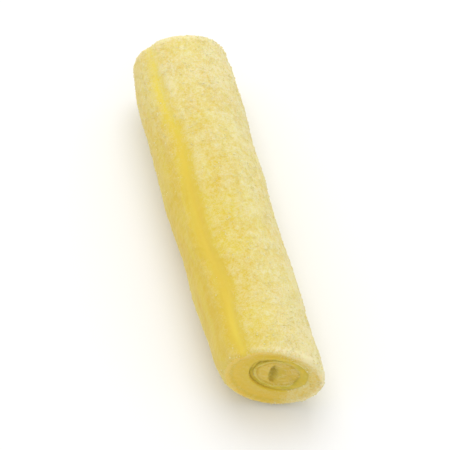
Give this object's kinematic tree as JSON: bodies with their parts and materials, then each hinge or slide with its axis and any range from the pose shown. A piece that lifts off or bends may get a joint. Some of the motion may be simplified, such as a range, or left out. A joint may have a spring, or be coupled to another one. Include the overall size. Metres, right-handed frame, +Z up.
{
  "type": "cut wax bean",
  "caption": "Short cut length of a frosted yellow bean pod, nearly straight and round, with a grooved seam along one shoulder and a cut seed in each cut face.",
  "frame": {"origin": "middle of the underside of the pod's box, on the small flat spot that it rests on", "axes": "+Z up, +Y along the pod from the near, oblique cut to the far cut, the grooved seam on the upper shoulder towards -X"},
  "size_m": [0.0096, 0.0374, 0.0095],
  "materials": {
    "pod_flesh": "yellow bean skin and flesh under a thin, dull, granular veil of frost, whiter at the rims and deeper yellow in the seam",
    "seed_flesh": "cut seed, paler than the pod, greenish at its coat, with light frost"
  },
  "bodies": {
    "root": {"pod": "pod_flesh", "seed_near": "seed_flesh", "seed_far": "seed_flesh"}
  },
  "joints": []
}
